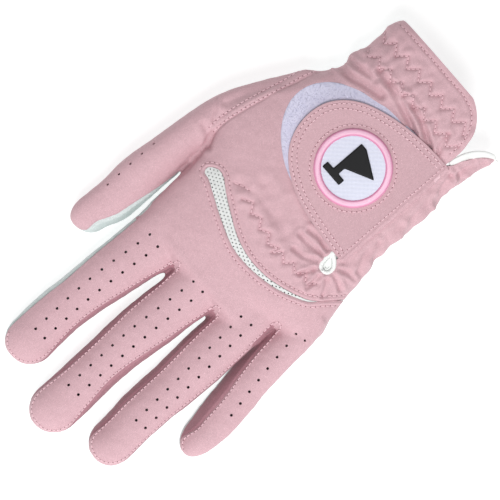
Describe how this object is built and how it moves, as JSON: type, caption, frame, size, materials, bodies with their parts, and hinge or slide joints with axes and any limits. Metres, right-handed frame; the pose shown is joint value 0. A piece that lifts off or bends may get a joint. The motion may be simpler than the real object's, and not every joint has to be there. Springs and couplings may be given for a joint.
{
  "type": "golf glove",
  "caption": "Left-hand golf glove lying palm down, with separate finger stalls and thumb, a vented back, and a hook-and-loop closure tab with a round badge.",
  "frame": {"origin": "on the flat resting face under the palm, in line with the middle finger, 31.5 mm behind the middle finger's root", "axes": "+Y towards the fingertips, +X towards the thumb, +Z out of the back of the hand"},
  "size_m": [0.1073, 0.2103, 0.0338],
  "materials": {
    "pink_leather": "soft cabretta grain",
    "white_leather": "soft cabretta grain",
    "vent_mesh": "open knitted mesh",
    "elastic": "ribbed elastic band",
    "white_binding": "smooth",
    "loop_pile": "fuzzy loop pile",
    "hook_tape": "hook tape",
    "badge_twill": "woven twill",
    "badge_thread": "satin stitch",
    "emblem_thread": "satin stitch",
    "thread": "sewing thread"
  },
  "bodies": {
    "hand": {"back_panel": "pink_leather", "palm_panel": "white_leather", "side_panel": "pink_leather", "thumb_base_back": "pink_leather", "thumb_base_palm": "white_leather", "little_finger_quirk": "pink_leather", "mesh_vent": "vent_mesh", "knuckle_elastic": "elastic", "cuff_elastic_upper": "elastic", "cuff_elastic_lower": "elastic", "slit_facing": "white_leather", "cuff_binding": "white_binding", "tab_seam_welt": "pink_leather", "bar_tacks": "thread", "loop_patch": "loop_pile"},
    "closure_tab": {"tab_leather": "pink_leather", "tab_lining": "white_binding", "hook_patch": "hook_tape", "badge_disc": "badge_twill", "badge_border": "badge_thread", "badge_emblem": "emblem_thread"},
    "index_stall": {"index_back": "pink_leather", "index_little_side_fourchette": "pink_leather", "index_palm": "white_leather"},
    "middle_stall": {"middle_back": "pink_leather", "middle_little_side_fourchette": "pink_leather", "middle_palm": "white_leather", "middle_thumb_side_fourchette": "pink_leather"},
    "ring_stall": {"ring_back": "pink_leather", "ring_little_side_fourchette": "pink_leather", "ring_palm": "white_leather", "ring_thumb_side_fourchette": "pink_leather"},
    "little_stall": {"little_back": "pink_leather", "little_palm": "white_leather", "little_thumb_side_fourchette": "pink_leather"},
    "thumb_stall": {"thumb_back": "pink_leather", "thumb_palm": "white_leather"}
  },
  "joints": [
    {"name": "closure_tab_hinge", "type": "hinge", "parent": "hand", "child": "closure_tab", "pos_m": [-0.0244, -0.0448, 0.0286], "axis": [0, -1, 0], "range_deg": [0, 150]},
    {"name": "index_flex", "type": "hinge", "parent": "hand", "child": "index_stall", "pos_m": [0.0267, 0.0319, 0.0022], "axis": [-0.9991, 0.0419, 0], "range_deg": [0, 75]},
    {"name": "middle_flex", "type": "hinge", "parent": "hand", "child": "middle_stall", "pos_m": [0.003, 0.0315, 0.0022], "axis": [-1, 0.007, 0], "range_deg": [0, 75]},
    {"name": "ring_flex", "type": "hinge", "parent": "hand", "child": "ring_stall", "pos_m": [-0.0189, 0.0318, 0.0022], "axis": [-0.9993, -0.0384, 0], "range_deg": [0, 75]},
    {"name": "little_flex", "type": "hinge", "parent": "hand", "child": "little_stall", "pos_m": [-0.0369, 0.0182, 0.002], "axis": [-0.9952, -0.0976, 0], "range_deg": [0, 75]},
    {"name": "thumb_flex", "type": "hinge", "parent": "hand", "child": "thumb_stall", "pos_m": [0.0492, 0.0089, 0.001], "axis": [-0.9984, 0.0558, 0], "range_deg": [0, 50]}
  ]
}
